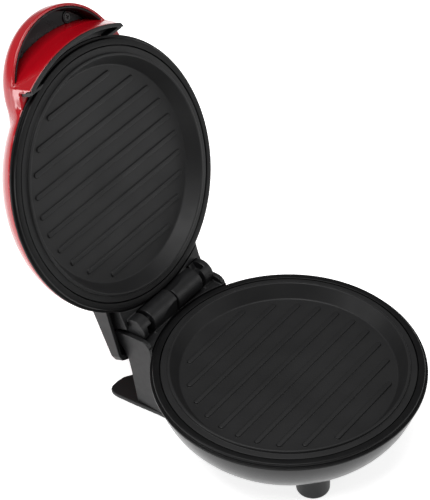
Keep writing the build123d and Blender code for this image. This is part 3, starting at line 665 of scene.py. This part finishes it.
def liner_field(x, y, z):
    """Black tray that lines the finger recess, in the lid frame."""
    r = np.hypot(x, y)
    rv = np.hypot(x, y - VIS_Y)
    cone = (r - (PED_R0 + SLOPE * (z - LIP_Z))) / CN
    edge = np.maximum(0.12 - cone, y + 70.0)
    tray = smax(np.maximum(superdome(rv, z, 1.85, 1.95), z - 17.1), 6.55 - z, 0.35)
    cavity = np.maximum(rv - (40.7 - 1.3 * (z - 6.55) / 8.65), z - CEIL_Z)
    tray = smax(tray, -cavity, 0.5)
    for sx in (-1, 1):
        d = np.hypot(x - sx * 21.2, y + 90.7)
        tray = smin(tray, np.maximum(d - 3.6, np.maximum(14.3 - z, z - 15.7)), 0.35)
        tray = smax(tray, -np.maximum(d - 2.5, np.abs(z - 12.9) - 2.9), 0.25)
        tray = np.maximum(tray, -(d - 1.35))
    return np.maximum(tray, edge)


p, q = net(liner_field, (-42.8, -104.4, 6.0), (42.8, -76.0, 17.6), 0.4)
ob = net_object("handle_liner", lid_row(p), q, 40)
piece(ob, "lid", ["handle_insert"], "liner_black")

# ------------------------------------------------- moulded and small pieces
SOFT = [("lid_lip", 0.00032, 3, "lip_strip", "lid", "satin_black", "satin_black", 0.6),
        ("lid_bracket", 0.00030, 3, "lid_hood", "lid", "satin_black", "satin_black", 0.4),
        ("hinge_tower", 0.00030, 3, "rear_post", "base", "satin_black", "satin_black", 0.35),
        ("rear_foot", 0.00042, 4, "rear_foot_board", "base", "satin_black", "satin_black", 0.35),
        ("front_foot_left", 0.00038, 3, "foot_left", "base", "satin_black", "satin_black", 0.5),
        ("front_foot_right", 0.00038, 3, "foot_right", "base", "satin_black", "satin_black", 0.5)]
for node, vox, it, name, body, slot, mat, keep in SOFT:
    ob = soften(node, vox, it, name, keep)
    piece(ob, body, [node], mat)

slot_of = {s["node"]: s["material_slot"] for s in frame["record"]["subparts"]}
for n, o in NODES.items():
    if o.hide_render:
        continue
    o.data.materials.clear()
    o.data.materials.append(MAT["black_screw" if n == "handle_screws" else slot_of[n]])

# -------------------------------------------------------------------- stage
fl = bpy.data.meshes.new("floor")
bm = bmesh.new()
bmesh.ops.create_grid(bm, x_segments=8, y_segments=8, size=6.0)
bm.to_mesh(fl)
bm.free()
floor = bpy.data.objects.new("floor", fl)
COLL.objects.link(floor)
fm = material("floor_white", (0.90, 0.90, 0.90), 0.8, tint=0.005, tint_scale=2, rough_var=0.03, spec=0.1)
fm.node_tree.nodes["Principled BSDF"].inputs["Emission Color"].default_value = (1, 1, 1, 1)
fm.node_tree.nodes["Principled BSDF"].inputs["Emission Strength"].default_value = 0.72
fl.materials.append(fm)

world = bpy.data.worlds.new("studio")
bpy.context.scene.world = world
world.use_nodes = True
world.node_tree.nodes["Background"].inputs[0].default_value = (1.0, 1.0, 1.0, 1)
world.node_tree.nodes["Background"].inputs[1].default_value = 0.22


def area(name, loc, target, size, size_y, power, color=(1, 1, 1)):
    ld = bpy.data.lights.new(name, "AREA")
    ld.shape = "RECTANGLE"
    ld.size, ld.size_y = size, size_y
    ld.energy = power
    ld.color = color
    lo = bpy.data.objects.new(name, ld)
    COLL.objects.link(lo)
    lo.location = loc
    d = Vector(target) - Vector(loc)
    lo.rotation_euler = d.to_track_quat("-Z", "Y").to_euler()
    return lo


area("key", (-0.25, 0.05, 1.35), (0, 0, 0.08), 1.1, 1.1, 19)
area("left", (-1.25, 0.75, 0.30), (0, 0.06, 0.12), 0.6, 0.6, 10)
area("fill", (0.7, -1.2, 0.8), (0, -0.05, 0.08), 0.8, 0.8, 5)

# ------------------------------------------------------------------- camera
az, el, dist, tx, tz, roll = -0.903446, 0.718042, 15.0941, -0.49997, 0.852823, -0.034415
back = np.array([math.sin(az) * math.cos(el), -math.cos(az) * math.cos(el), math.sin(el)])
right0 = np.array([math.cos(az), math.sin(az), 0.0])
up0 = np.cross(back, right0)
C = (right0 * tx + up0 * tz + back * dist) * 0.08 + np.array([0, Y_SHIFT * 0.001, RIM_H * 0.001])
rr = right0 * math.cos(roll) + up0 * math.sin(roll)
uu = -right0 * math.sin(roll) + up0 * math.cos(roll)
cd = bpy.data.cameras.new("cam")
cd.sensor_width = 36.0
cd.lens = 2100.0 / 500.0 * 36.0
cd.clip_start, cd.clip_end = 0.05, 50.0
cam = bpy.data.objects.new("cam", cd)
COLL.objects.link(cam)
M = Matrix.Identity(4)
for i in range(3):
    M[i][0], M[i][1], M[i][2], M[i][3] = rr[i], uu[i], back[i], C[i]
cam.matrix_world = M
bpy.context.scene.camera = cam
bpy.context.scene.view_settings.view_transform = "Standard"
bpy.context.scene.view_settings.look = "None"
